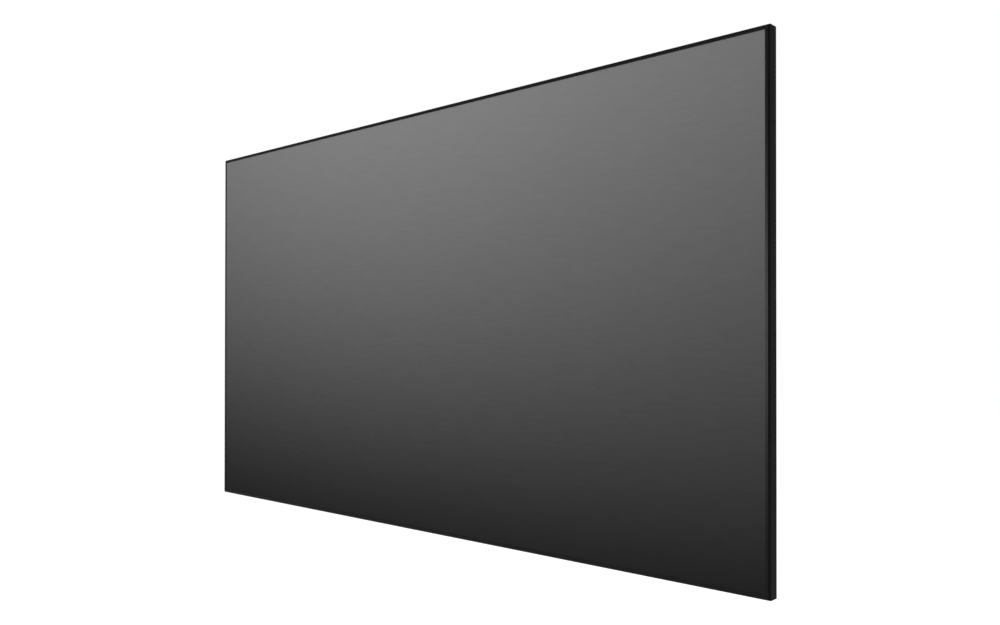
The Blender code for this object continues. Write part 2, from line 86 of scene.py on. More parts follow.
def rodCentre(name):
    ends = boxOnSide(sides[name], "tension_rod_" + name)
    middle = (ends[0] + ends[1]) / 2
    return -middle.z, middle.y


def hookPlaces(name):
    side = sides[name]
    found = []
    for number in range(1, side["hooks"] + 1):
        ends = boxOnSide(side, f"hook_{name}_{number}")
        found.append((ends[0].x + ends[1].x) / 2)
    return sorted(found)


# Node trees


class Socket:
    # wraps an output, so that sums and products written in Python become Math nodes

    def __init__(self, tree, output=None):
        self.tree = tree
        self.output = output

    def node(self, kind, settings, inputs, output=0):
        made = self.tree.nodes.new(kind)
        for name, value in settings.items():
            setattr(made, name, value)
        for name, value in inputs.items():
            if isinstance(value, Socket):
                self.tree.links.new(value.output, made.inputs[name])
            else:
                made.inputs[name].default_value = value
        return Socket(self.tree, made.outputs[output])

    def maths(self, operation, *values):
        inputs = dict(enumerate(values))
        return self.node("ShaderNodeMath", {"operation": operation}, inputs)

    def __add__(self, other):
        return self.maths("ADD", self, other)

    def __radd__(self, other):
        return self.maths("ADD", other, self)

    def __sub__(self, other):
        return self.maths("SUBTRACT", self, other)

    def __rsub__(self, other):
        return self.maths("SUBTRACT", other, self)

    def __mul__(self, other):
        return self.maths("MULTIPLY", self, other)

    def __truediv__(self, other):
        return self.maths("DIVIDE", self, other)

    def position(self):
        return self.node("ShaderNodeTexCoord", {}, {}, "Object")

    def axis(self, letter):
        return self.node("ShaderNodeSeparateXYZ", {}, {0: self.position()}, letter)

    def mixed(self, factor, first, second):
        inputs = {0: factor, 6: (*first, 1), 7: (*second, 1)}
        return self.node("ShaderNodeMix", {"data_type": "RGBA", "clamp_factor": True}, inputs, 2)

    def noise(self, stretch, detail, sharpness):
        # stretch gives the pattern's repeats in a metre along X, Y and Z
        scaled = self.node("ShaderNodeMapping", {}, {"Vector": self.position(), "Scale": stretch})
        inputs = {"Vector": scaled, "Scale": 1.0, "Detail": detail, "Roughness": sharpness}
        return self.node("ShaderNodeTexNoise", {}, inputs)

    def bump(self, height, distance):
        inputs = {"Height": height, "Distance": distance, "Strength": 1.0}
        return self.node("ShaderNodeBump", {}, inputs)


def newFinish(name, constants):
    # a material with the constants set on its shader, and a socket to start its node tree from
    material = bpy.data.materials.new(name)
    material.use_nodes = True
    shader = material.node_tree.nodes["Principled BSDF"]
    for socket, value in constants.items():
        shader.inputs[socket].default_value = value
    return material, Socket(material.node_tree)


def connect(material, **sockets):
    # joins what changes over the surface to the shader: colour, roughness or normal
    shader = material.node_tree.nodes["Principled BSDF"]
    names = {"colour": "Base Color", "roughness": "Roughness", "normal": "Normal"}
    for key, value in sockets.items():
        material.node_tree.links.new(value.output, shader.inputs[names[key]])


def along(grain, lengthwise, across):
    # repeats in a metre: few along the grain, many across it
    return tuple(lengthwise if letter == grain else across for letter in "XYZ")


# Finishes

halfway = 0.5  # a pattern's mean, and the mix half way between a finish's dark and light
plainSharpness = 0.5  # of a pattern that gives none of its own


def pattern(look, start, name, grain=""):
    # one of a finish's noise patterns, drawn out along the grain if it has one
    across = look[name + "Repeats"]
    lengthwise = look.get(name + "Lengthwise", across)
    sharpness = look.get(name + "Sharpness", plainSharpness)
    return start.noise(along(grain, lengthwise, across), look[name + "Detail"], sharpness)


def mottled(look, start, **patterns):
    # the colour: each pattern swings it between dark and light by its own contrast
    mix = halfway
    for name, value in patterns.items():
        mix = (value - halfway) * look[name + "Contrast"] + mix
    return start.mixed(mix, look["dark"], look["light"])


def uneven(look, value):
    # the roughness, which follows a pattern
    return (value - halfway) * look["roughnessSpread"] + look["roughness"]


bezelBlack = {
    "dark": (0.0050, 0.0044, 0.0036),
    "light": (0.0066, 0.0058, 0.0048),
    "roughness": 0.33,
    "roughnessSpread": 0.08,
    "ior": 1.22,
    "specular": 0.5,
    "tint": (0.84, 0.90, 1.0),
    "lineRepeats": 1400,
    "lineLengthwise": 5,
    "lineDetail": 3.0,
    "lineSharpness": 0.6,
    "lineContrast": 0.9,
    "lineDepth": 0.000006,
    "mottleRepeats": 9,
    "mottleDetail": 3.0,
    "mottleContrast": 1.2,
}


def anodisedBezel(grain):
    look = bezelBlack
    constants = {
        "IOR": look["ior"],
        "Specular IOR Level": look["specular"],
        "Specular Tint": (*look["tint"], 1),
    }
    material, start = newFinish("black_anodised_" + grain, constants)
    line = pattern(look, start, "line", grain)
    mottle = pattern(look, start, "mottle")
    connect(
        material,
        colour=mottled(look, start, line=line, mottle=mottle),
        roughness=uneven(look, line + mottle - halfway),
        normal=start.bump(line, look["lineDepth"]),
    )
    return material


railBlack = {
    "dark": (0.013, 0.013, 0.0135),
    "light": (0.024, 0.024, 0.025),
    "roughness": 0.42,
    "roughnessSpread": 0.3,
    "specular": 0.45,
    "lineRepeats": 700,
    "lineLengthwise": 3,
    "lineDetail": 4.0,
    "lineSharpness": 0.65,
    "lineContrast": 1.6,
    "lineDepth": 0.00002,
    "mottleRepeats": 14,
    "mottleDetail": 4.0,
    "mottleSharpness": 0.6,
    "mottleContrast": 1.6,
}


def anodisedRail(grain):
    look = railBlack
    material, start = newFinish("rail_anodised_" + grain, {"Specular IOR Level": look["specular"]})
    line = pattern(look, start, "line", grain)
    mottle = pattern(look, start, "mottle")
    connect(
        material,
        colour=mottled(look, start, line=line, mottle=mottle),
        roughness=uneven(look, line),
        normal=start.bump(line, look["lineDepth"]),
    )
    return material


zincPlate = {
    "dark": (0.30, 0.31, 0.33),
    "light": (0.52, 0.53, 0.55),
    "roughness": 0.33,
    "roughnessSpread": 0.3,
    "spangleRepeats": 420,
    "spangleDetail": 2.0,
    "spangleContrast": 0.6,
    "spangleDepth": 0.00002,
    "cloudRepeats": 60,
    "cloudDetail": 4.0,
    "cloudSharpness": 0.6,
    "cloudContrast": 1.4,
}


def zincSteel(name):
    look = zincPlate
    material, start = newFinish(name, {"Metallic": 1.0})
    cloud = pattern(look, start, "cloud")
    spangle = pattern(look, start, "spangle")
    connect(
        material,
        colour=mottled(look, start, cloud=cloud, spangle=spangle),
        roughness=uneven(look, cloud),
        normal=start.bump(spangle, look["spangleDepth"]),
    )
    return material


powderCoat = {
    "dark": (0.011, 0.011, 0.012),
    "light": (0.020, 0.020, 0.021),
    "roughness": 0.5,
    "roughnessSpread": 0.25,
    "specular": 0.5,
    "peelRepeats": 900,
    "peelDetail": 1.5,
    "peelDepth": 0.00006,
    "cloudRepeats": 30,
    "cloudDetail": 3.0,
    "cloudContrast": 1.6,
}


def bracketPowder():
    look = powderCoat
    material, start = newFinish("bracket_powder", {"Specular IOR Level": look["specular"]})
    peel = pattern(look, start, "peel")
    connect(
        material,
        colour=mottled(look, start, cloud=pattern(look, start, "cloud")),
        roughness=uneven(look, peel),
        normal=start.bump(peel, look["peelDepth"]),
    )
    return material


drawnWire = {
    "dark": (0.34, 0.34, 0.34),
    "light": (0.60, 0.60, 0.59),
    "roughness": 0.28,
    "roughnessSpread": 0.3,
    "drawRepeats": 2600,
    "drawLengthwise": 60,
    "drawDetail": 3.0,
    "drawContrast": 1.8,
}


def springWire():
    # a hook lies across X, so its draw lines repeat along X and run along Y and Z
    look = drawnWire
    material, start = newFinish("drawn_spring_wire", {"Metallic": 1.0})
    stretch = (look["drawRepeats"], look["drawLengthwise"], look["drawLengthwise"])
    draw = start.noise(stretch, look["drawDetail"], plainSharpness)
    connect(material, colour=mottled(look, start, draw=draw), roughness=uneven(look, draw))
    return material


rodFibre = {
    "dark": (0.46, 0.43, 0.32),
    "light": (0.68, 0.66, 0.55),
    "roughness": 0.42,
    "roughnessSpread": 0.3,
    "strandRepeats": 1800,
    "strandLengthwise": 8,
    "strandDetail": 3.0,
    "strandSharpness": 0.6,
    "strandContrast": 1.8,
    "strandDepth": 0.00003,
}


def glassFibre(grain):
    look = rodFibre
    material, start = newFinish("glass_fibre_" + grain, {})
    strand = pattern(look, start, "strand", grain)
    connect(
        material,
        colour=mottled(look, start, strand=strand),
        roughness=uneven(look, strand),
        normal=start.bump(strand, look["strandDepth"]),
    )
    return material


# painted reflection: the colour runs from grey at the top to nearly black at the bottom,
# standing in for the light that the front's fine level ribs send to the viewer less and less from the
# top down
lensFront = {
    "bottom": (0.0162, 0.0162, 0.0162),
    "top": (0.2255, 0.2255, 0.2255),
    "curve": 1.25,
    "roughness": 0.62,
    "roughnessSpread": 0.1,
    "specular": 0.05,
    "streakRepeats": 100,
    "streakLengthwise": 14,
    "streakDetail": 4.0,
    "streakSharpness": 0.7,
    "streakSpread": 0.245,
    "cloudRepeats": 2.2,
    "cloudDetail": 2.0,
    "cloudSpread": 0.03,
    "ribPitch": 0.0006,
    "ribDepth": 0.00001,
    "ribShade": 0.06,
}


def screenLens():
    look = lensFront
    material, start = newFinish("lens_front", {"Specular IOR Level": look["specular"]})
    level = start.axis("Z")
    # painted reflection: 0 at the bottom and 1 at the top, so the front is painted darker towards the
    # bottom
    paintedReflectionShare = start.maths("POWER", (level - low.z) / size.z, look["curve"])
    stretch = (look["streakLengthwise"], 1, look["streakRepeats"])
    streak = start.noise(stretch, look["streakDetail"], look["streakSharpness"]) - halfway
    cloud = pattern(look, start, "cloud") - halfway
    rib = start.maths("SINE", level * (2 * math.pi / look["ribPitch"]))
    shade = 1 + cloud * look["cloudSpread"] + rib * look["ribShade"]
    # the root keeps the streaks as plain to the eye low down as high up
    streaks = start.maths("SQRT", paintedReflectionShare) * streak * look["streakSpread"]
    connect(
        material,
        colour=start.mixed(paintedReflectionShare * shade + streaks, look["bottom"], look["top"]),
        roughness=look["roughness"] + streak * look["roughnessSpread"],
        normal=start.bump(rib, look["ribDepth"]),
    )
    return material


blackBacking = {
    "dark": (0.013, 0.013, 0.014),
    "light": (0.022, 0.022, 0.023),
    "roughness": 0.62,
    "roughnessSpread": 0.3,
    "specular": 0.35,
    "leatherRepeats": 520,
    "leatherDetail": 2.0,
    "leatherSharpness": 0.6,
    "leatherContrast": 0.6,
    "leatherDepth": 0.00008,
    "cloudRepeats": 3,
    "cloudDetail": 3.0,
    "cloudContrast": 1.2,
}


def sheetBacking():
    look = blackBacking
    material, start = newFinish("black_backing", {"Specular IOR Level": look["specular"]})
    leather = pattern(look, start, "leather")
    connect(
        material,
        colour=mottled(look, start, cloud=pattern(look, start, "cloud"), leather=leather),
        roughness=uneven(look, leather),
        normal=start.bump(leather, look["leatherDepth"]),
    )
    return material


borderWeave = {
    "dark": (0.010, 0.010, 0.011),
    "light": (0.034, 0.034, 0.036),
    "roughness": 0.78,
    "roughnessSpread": 0.2,
    "specular": 0.3,
    "sheen": 0.15,
    "sheenRoughness": 0.5,
    "weavePitch": 0.0008,
    "weaveContrast": 0.7,
    "weaveDepth": 0.00012,
    "fuzzRepeats": 1500,
    "fuzzDetail": 2.0,
    "fuzzContrast": 0.5,
}


def wovenBorder():
    look = borderWeave
    constants = {
        "Specular IOR Level": look["specular"],
        "Sheen Weight": look["sheen"],
        "Sheen Roughness": look["sheenRoughness"],
    }
    material, start = newFinish("woven_border", constants)
    turn = math.pi / look["weavePitch"]
    warp = start.maths("SINE", start.axis("X") * turn)
    weft = start.maths("SINE", start.axis("Z") * turn)
    weave = warp * weft * halfway + halfway
    fuzz = pattern(look, start, "fuzz")
    connect(
        material,
        colour=mottled(look, start, weave=weave, fuzz=fuzz),
        roughness=uneven(look, fuzz),
        normal=start.bump(weave, look["weaveDepth"]),
    )
    return material


seamThread = {
    "dark": (0.030, 0.030, 0.032),
    "light": (0.075, 0.075, 0.080),
    "roughness": 0.6,
    "roughnessSpread": 0.2,
    "sheen": 0.2,
    "twistRepeats": 2400,
    "twistDetail": 1.0,
    "twistContrast": 1.6,
}


def stitchThread():
    look = seamThread
    material, start = newFinish("seam_thread", {"Sheen Weight": look["sheen"]})
    twist = pattern(look, start, "twist")
    connect(material, colour=mottled(look, start, twist=twist), roughness=uneven(look, twist))
    return material


bezelFinish = {grain: anodisedBezel(grain) for grain in "XZ"}
railFinish = {grain: anodisedRail(grain) for grain in "XZ"}
fibreFinish = {grain: glassFibre(grain) for grain in "XZ"}
plateFinish = zincSteel("zinc_plate")
screwFinish = zincSteel("zinc_screws")
bracketFinish = bracketPowder()
wireFinish = springWire()
print("finishes made")


def dressNodes():
    # the nodes that stay as they are get their finish here
    for name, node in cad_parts.items():
        grain = "Z" if name in ("bezel_left", "bezel_right", "rail_left", "rail_right") else "X"
        if name.startswith("bezel_"):
            finish = bezelFinish[grain]
        elif name.startswith("rail_"):
            finish = railFinish[grain]
        elif name == "support_bar":
            finish = railFinish["Z"]
        elif name.startswith("wall_bracket_"):
            finish = bracketFinish
        else:
            finish = plateFinish
        for slot in node.material_slots:
            slot.material = finish


dressNodes()


# New pieces


def addPiece(name, shape, finishes, replaced=(), smooth=35):
    # an edge is shaded as sharp where its faces turn by more than the smooth angle
    mesh = bpy.data.meshes.new(name)
    shape.to_mesh(mesh)
    shape.free()
    for finish in finishes:
        mesh.materials.append(finish)
    mesh.shade_smooth()
    mesh.set_sharp_from_angle(angle=math.radians(smooth))
    piece = bpy.data.objects.new(name, mesh)
    bpy.context.scene.collection.objects.link(piece)
    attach(piece, "root")
    if replaced:
        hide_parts(*replaced)
    return piece


def gather(shape, part):
    # adds a small shape to a large one
    carrier = bpy.data.meshes.new("part")
    part.to_mesh(carrier)
    part.free()
    shape.from_mesh(carrier)
    bpy.data.meshes.remove(carrier)


def sweptEdges(parts):
    return [part for part in parts if isinstance(part, bmesh.types.BMEdge)]


def turnEdges(shape, edges, place, centre, angle, steps):
    # sweeps edges round a line along the side, whose place is the (u, v) of the centre;
    # a positive turn goes from the front to the inside
    u, v = centre
    swept = bmesh.ops.spin(
        shape,
        geom=edges,
        cent=place @ Vector((0, v, -u)),
        axis=place.to_3x3() @ Vector((1, 0, 0)),
        angle=math.radians(angle),
        steps=steps,
    )
    return sweptEdges(swept["geom_last"])


def pushEdges(shape, edges, place, step):
    # sweeps edges straight by (x, v, -u)
    grown = bmesh.ops.extrude_edge_only(shape, edges=edges)["geom"]
    moved = [part for part in grown if isinstance(part, bmesh.types.BMVert)]
    bmesh.ops.translate(shape, verts=moved, vec=place.to_3x3() @ Vector(step))
    return sweptEdges(grown)


def roundEdges(shape, edges, width):
    bmesh.ops.bevel(
        shape,
        geom=edges,
        offset=width,
        affect="EDGES",
        segments=2,
        profile=0.5,
        material=-1,
    )


screenSheet = {
    "thickness": 0.0005,
    "frontBend": 0.00536,
    "rearBend": 0.00255,
    "sleeve": 0.00255,
    "tailBend": 0.00175,
    "tail": 0.0027,
    "flapEnd": 0.070,
    "underBezel": 0.0105,
    "window": 0.014,
    "frontBendSteps": 10,
    "rearBendSteps": 5,
    "sleeveSteps": 18,
    "tailBendSteps": 6,
}


def sheetLines():
    # where the mid-line of the sheet runs on every side, as (u, v) values
    look = screenSheet
    half = look["thickness"] / 2
    start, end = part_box("screen_fabric")
    rod = rodCentre("top")
    front = start.y - low.y + half
    edge = high.x - end.x + half
    return {
        "front": front,
        "edge": edge,
        "rod": rod,
        "inset": edge + look["frontBend"],
        "flap": rod[1] - look["sleeve"],
    }


def growFlap(shape, name, lines):
    # pulls one border of the panel round the rail and into its hem
    look = screenSheet
    side = sides[name]
    place = side["place"]
    inverse = place.inverted()
    reach = side["length"] / 2 - look["flapEnd"]
    edges = [
        edge
        for edge in shape.edges
        if all(
            abs((inverse @ vert.co).z + lines["inset"]) < clearance
            and abs((inverse @ vert.co).x) < reach + clearance
            for vert in edge.verts
        )
    ]
    frontCentre = (lines["inset"], lines["front"] + look["frontBend"])
    rearCentre = (lines["edge"] + look["rearBend"], lines["flap"] - look["rearBend"])
    tailCentre = (lines["rod"][0] - look["sleeve"] - look["tailBend"], lines["rod"][1])
    edges = turnEdges(shape, edges, place, frontCentre, -90, look["frontBendSteps"])
    edges = pushEdges(shape, edges, place, (0, rearCentre[1] - frontCentre[1], 0))
    edges = turnEdges(shape, edges, place, rearCentre, -90, look["rearBendSteps"])
    edges = pushEdges(shape, edges, place, (0, 0, rearCentre[0] - lines["rod"][0]))
    edges = turnEdges(shape, edges, place, lines["rod"], 270, look["sleeveSteps"])
    edges = turnEdges(shape, edges, place, tailCentre, -90, look["tailBendSteps"])
    pushEdges(shape, edges, place, (0, 0, look["tail"]))


def hemFaces(shape, inverse, lines):
    # the faces of one side's hem, which lie behind its flap and near its rod
    def isHem(face):
        middle = inverse @ face.calc_center_median()
        return middle.y > lines["flap"] + clearance / 10 and -middle.z < 2 * lines["rod"][0]

    return [face for face in shape.faces if isHem(face)]


def cutWindows(shape, name, lines):
    # opens the hem at each hook
    side = sides[name]
    place = side["place"]
    inverse = place.inverted()
    half = screenSheet["window"] / 2
    for x in hookPlaces(name):
        for edgeX in (x - half, x + half):
            faces = hemFaces(shape, inverse, lines)
            edges = {edge for face in faces for edge in face.edges}
            verts = {vert for face in faces for vert in face.verts}
            bmesh.ops.bisect_plane(
                shape,
                geom=[*verts, *edges, *faces],
                plane_co=place @ Vector((edgeX, 0, 0)),
                plane_no=place.to_3x3() @ Vector((1, 0, 0)),
            )
        gone = [
            face
            for face in hemFaces(shape, inverse, lines)
            if abs((inverse @ face.calc_center_median()).x - x) < half
        ]
        bmesh.ops.delete(shape, geom=gone, context="FACES")


def flatSize(lines):
    # the sheet before it was wrapped, and its area without the corners and the windows
    look = screenSheet
    quarter = math.pi / 2
    flap = (
        quarter * (look["frontBend"] + look["rearBend"] + look["tailBend"])
        + lines["flap"] - look["rearBend"] - lines["front"] - look["frontBend"]
        + lines["rod"][0] - lines["edge"] - look["rearBend"]
        + 3 * quarter * look["sleeve"]
        + look["tail"]
    )
    panel = [length - 2 * lines["inset"] for length in (size.x, size.z)]
    hem = 3 * quarter * look["sleeve"] + quarter * look["tailBend"] + look["tail"]
    area = panel[0] * panel[1]
    for side in sides.values():
        area += flap * (side["length"] - 2 * look["flapEnd"])
        area -= hem * side["hooks"] * look["window"]
    return (panel[0] + 2 * flap, panel[1] + 2 * flap), area


def makeSheet():
    look = screenSheet
    lines = sheetLines()
    # the panel starts as a square of one metre, and is stretched and stood up
    shape = bmesh.new()
    bmesh.ops.create_grid(shape, x_segments=1, y_segments=1, size=0.5)
    panel = (size.x - 2 * lines["inset"], size.z - 2 * lines["inset"], 1)
    bmesh.ops.scale(shape, verts=shape.verts, vec=panel)
    turn = Matrix.Rotation(math.radians(90), 3, "X")
    bmesh.ops.rotate(shape, verts=shape.verts, matrix=turn)
    bmesh.ops.translate(shape, verts=shape.verts, vec=(0, low.y + lines["front"], 0))
    # it is split where the flaps end and just under the bezels, where its shading turns
    for axis, length in ((Vector((1, 0, 0)), size.x), (Vector((0, 0, 1)), size.z)):
        for gap in (look["flapEnd"], look["underBezel"]):
            for sign in (-1, 1):
                bmesh.ops.bisect_plane(
                    shape,
                    geom=[*shape.verts, *shape.edges, *shape.faces],
                    plane_co=axis * sign * (length / 2 - gap),
                    plane_no=axis,
                )
    panelFaces = set(shape.faces)
    for name in sides:
        growFlap(shape, name, lines)
    for face in shape.faces:
        face.material_index = 0 if face in panelFaces else 2
    for name in sides:
        cutWindows(shape, name, lines)
    bmesh.ops.recalc_face_normals(shape, faces=shape.faces)
    widest = max(shape.faces, key=lambda face: face.calc_area())
    if widest.normal.y > 0:
        bmesh.ops.reverse_faces(shape, faces=shape.faces)
    # two finishes for the panel and two for the hem: each time the outer side's, then the inner side's
    border = wovenBorder()
    finishes = [screenLens(), sheetBacking(), border, border]
    sheet = addPiece("screen_sheet", shape, finishes, ["screen_fabric"])
    skin = sheet.modifiers.new("thickness", "SOLIDIFY")
    skin.thickness = look["thickness"]
    skin.offset = 0
    skin.use_even_offset = True
    skin.material_offset = 1
    skin.material_offset_rim = 1
    return sheet, lines


sheet, sheetRun = makeSheet()
print("screen sheet wrapped")

hemStitch = {
    "length": 0.0030,
    "pitch": 0.0036,
    "thread": 0.0005,
    "fromTailEnd": 0.0011,
    "end": 0.003,
    "segments": 6,
    "rings": 4,
    "smooth": 180,
}


def makeStitches():
    # one row of stitches along each length of hem, between its windows
    look = hemStitch
    shape = bmesh.new()
    sheetLook = screenSheet
    tailStart = sheetRun["rod"][0] - sheetLook["sleeve"] - sheetLook["tailBend"]
    u = tailStart - sheetLook["tail"] + look["fromTailEnd"]
    v = sheetRun["rod"][1] - sheetLook["tailBend"] + sheetLook["thickness"] / 2
    stretch = Matrix.Diagonal((look["length"] / 2, look["thread"] / 2, look["thread"] / 2, 1))
    for name, side in sides.items():
        reach = side["length"] / 2 - sheetLook["flapEnd"]
        half = sheetLook["window"] / 2
        stops = [-reach, *(x + step for x in hookPlaces(name) for step in (-half, half)), reach]
        for start, end in zip(stops[::2], stops[1::2]):
            room = end - start - 2 * look["end"]
            count = int(room / look["pitch"])
            row = bmesh.new()
            for number in range(count):
                x = (start + end) / 2 + (number - (count - 1) / 2) * look["pitch"]
                spot = Matrix.Translation((x, v, -u))
                bmesh.ops.create_uvsphere(
                    row,
                    u_segments=look["segments"],
                    v_segments=look["rings"],
                    radius=1,
                    matrix=side["place"] @ spot @ stretch,
                )
            gather(shape, row)
    thread = [stitchThread()]
    return addPiece("hem_stitches", shape, thread, smooth=look["smooth"])


stitches = makeStitches()
flat, area = flatSize(sheetRun)
print("hems stitched")

tensionRod = {"sides": 24, "endBevel": 0.0005}


def makeRods():
    for name, side in sides.items():
        node = "tension_rod_" + name
        start, end = boxOnSide(side, node)
        u, v = rodCentre(name)
        shape = bmesh.new()
        lie = Matrix.Rotation(math.radians(90), 4, "Y")
        radius = max(end.y - start.y, end.z - start.z) / 2
        bmesh.ops.create_cone(
            shape,
            cap_ends=True,
            segments=tensionRod["sides"],
            radius1=radius,
            radius2=radius,
            depth=end.x - start.x,
            matrix=side["place"] @ Matrix.Translation((0, v, -u)) @ lie,
        )
        rims = [edge for edge in shape.edges if edge.calc_length() < 2 * radius]
        roundEdges(shape, rims, tensionRod["endBevel"])
        addPiece("rod_" + name, shape, [fibreFinish[side["grain"]]], [node])


makeRods()

wireHook = {
    "wire": 0.0016,
    "sides": 12,
    "grip": 115,
    "gripSteps": 12,
    "tipSteps": 6,
    "endBevel": 0.0003,
}


def makeHook(name, number):
    # the wire grips the rod, runs inwards, and turns up behind the groove's bead
    look = wireHook
    side = sides[name]
    node = f"hook_{name}_{number}"
    start, end = boxOnSide(side, node)
    radius = look["wire"] / 2
    u, v = rodCentre(name)
    rodStart, rodEnd = boxOnSide(side, "tension_rod_" + name)
    wrap = (rodEnd.z - rodStart.z) / 2 + clearance + radius
    bend = clearance + radius
    tip = (-start.z - radius, end.y)  # (u, v) of the wire's end
    place = side["place"] @ Matrix.Translation(((start.x + end.x) / 2, 0, 0))
    shape = bmesh.new()
    bmesh.ops.create_circle(
        shape,
        cap_ends=False,
        segments=look["sides"],
        radius=radius,
        matrix=place @ Matrix.Translation((0, v + wrap, -u)),
    )
    across = place.to_3x3() @ Vector((1, 0, 0))
    bmesh.ops.rotate(
        shape,
        verts=shape.verts,
        cent=place @ Vector((0, v, -u)),
        matrix=Matrix.Rotation(math.radians(look["grip"]), 3, across),
    )
    edges = turnEdges(shape, shape.edges[:], place, (u, v), -look["grip"], look["gripSteps"])
    edges = pushEdges(shape, edges, place, (0, -bend, u + bend - tip[0]))
    edges = turnEdges(shape, edges, place, (tip[0] - bend, v + wrap), 90, look["tipSteps"])
    pushEdges(shape, edges, place, (0, tip[1] - v - wrap, 0))
    bmesh.ops.holes_fill(shape, edges=shape.edges, sides=0)
    bmesh.ops.recalc_face_normals(shape, faces=shape.faces)
    caps = [face for face in shape.faces if len(face.verts) == look["sides"]]
    roundEdges(shape, [edge for face in caps for edge in face.edges], look["endBevel"])
    addPiece("wire_" + node, shape, [wireFinish], [node])


for name, side in sides.items():
    for number in range(1, side["hooks"] + 1):
        makeHook(name, number)
print("rods and hooks made")

# Fasteners

fastenerSides = 24
standOff = 0.00005  # keeps a head or a washer off the face that it sits on


def growFastener(shape, place, rings):
    # rings are (outline, half width, height), from the head's middle to the far end;
    # a hexagon is measured over its flats
    def settle(verts, outline, halfWidth, height):
        for vert in verts:
            way = Vector((vert.co.x, vert.co.y, 0)).normalized()
            angle = math.atan2(way.y, way.x) % (math.pi / 3) - math.pi / 6
            reach = halfWidth / math.cos(angle) if outline == "hex" else halfWidth
            vert.co = way * reach + Vector((0, 0, height))

    part = bmesh.new()
    bmesh.ops.create_circle(part, cap_ends=True, segments=fastenerSides, radius=1)
    settle(part.verts, *rings[0])
    edges = part.edges[:]
    for ring in rings[1:]:
        grown = bmesh.ops.extrude_edge_only(part, edges=edges)["geom"]
        settle([piece for piece in grown if isinstance(piece, bmesh.types.BMVert)], *ring)
        edges = sweptEdges(grown)
    bmesh.ops.holes_fill(part, edges=edges, sides=0)
    bmesh.ops.recalc_face_normals(part, faces=part.faces)
    bmesh.ops.transform(part, matrix=place, verts=part.verts)
    gather(shape, part)


buttonHead = {
    "socketRim": 0.0006,
    "rimDrop": 0.0001,
    "dome": ((0.62, 0.93), (0.84, 0.68), (0.97, 0.32), (1, 0.08)),
}


def buttonScrew(look):
    # a low round head with a hexagon socket; its dome is given in shares of its radius and height
    head, height = look["head"] / 2, look["height"]
    socket, shank = look["socket"] / 2, look["shank"] / 2
    return [
        ("hex", socket, height - look["socketDepth"]),
        ("hex", socket, height - buttonHead["rimDrop"]),
        ("round", socket + buttonHead["socketRim"], height),
        *[("round", head * reach, height * rise) for reach, rise in buttonHead["dome"]],
        ("round", head, standOff),
        ("round", shank, standOff),
        ("round", shank, -look["length"]),
    ]


jointScrew = {
    "head": 0.0095,
    "height": 0.0027,
    "socket": 0.0030,
    "socketDepth": 0.0017,
    "shank": 0.0041,
    "length": 0.0075,
    "fromCorner": (0.040, 0.062),
    "fromSplice": (-0.075, -0.025, 0.025, 0.075),
    "seat": 0.0210,
}


def backward(x, v, u):
    # stands a fastener on a face that looks backwards; its own +Z then points to the wall
    return Matrix.Translation((x, v, -u)) @ Matrix.Rotation(math.radians(-90), 4, "X")


def barLine():
    # how far inwards the middle of the joint bars lies, from the splice bar's own box
    start, end = boxOnSide(sides["top"], "splice_bar_top")
    return -(start.z + end.z) / 2


def makeJointScrews(joint, spots):
    # spots are (side, x) pairs
    look = jointScrew
    line = barLine()
    shape = bmesh.new()
    for name, x in spots:
        spot = sides[name]["place"] @ backward(x, look["seat"], line)
        growFastener(shape, spot, buttonScrew(look))
    addPiece("joint_screws_" + joint, shape, [screwFinish])


corners = {
    "top_right": ("top", "right"),
    "bottom_right": ("right", "bottom"),
    "bottom_left": ("bottom", "left"),
    "top_left": ("left", "top"),
}
for joint, (before, after) in corners.items():
    spots = []
    for gap in jointScrew["fromCorner"]:
        spots.append((before, sides[before]["length"] / 2 - gap))
        spots.append((after, gap - sides[after]["length"] / 2))
    makeJointScrews(joint, spots)
for name in ("top", "bottom"):
    makeJointScrews(name, [(name, x) for x in jointScrew["fromSplice"]])

clipScrew = {
    "head": 0.0075,
    "height": 0.0022,
    "socket": 0.0025,
    "socketDepth": 0.0014,
    "shank": 0.0038,
    "length": 0.0040,
}
clipBolt = {
    "flats": 0.0070,
    "head": 0.0028,
    "nut": 0.0032,
    "shank": 0.0040,
    "end": 0.0015,
    "washer": 0.0088,
    "washerThick": 0.0008,
    "chamfer": 0.0004,
    "chamferShare": 0.9,
    "ear": 0.002,
}


def boltRings(grip):
    # a hexagon head, a shank through the fork and the bar, and a nut with a washer each side
    look = clipBolt
    flats, shank, washer = look["flats"] / 2, look["shank"] / 2, look["washer"] / 2
    thick = look["washerThick"]
    top = thick + look["head"]
    bottom = -grip - thick - look["nut"]
    chamfered = flats * look["chamferShare"]
    return [
        ("round", chamfered, top),
        ("hex", flats, top - look["chamfer"]),
        ("hex", flats, thick),
        ("round", washer, thick),
        ("round", washer, standOff),
        ("round", shank, standOff),
        ("round", shank, -grip - standOff),
        ("round", washer, -grip - standOff),
        ("round", washer, -grip - thick),
        ("hex", flats, -grip - thick),
        ("hex", flats, bottom + look["chamfer"]),
        ("round", chamfered, bottom),
        ("round", shank, bottom),
        ("round", shank, bottom - look["end"]),
    ]


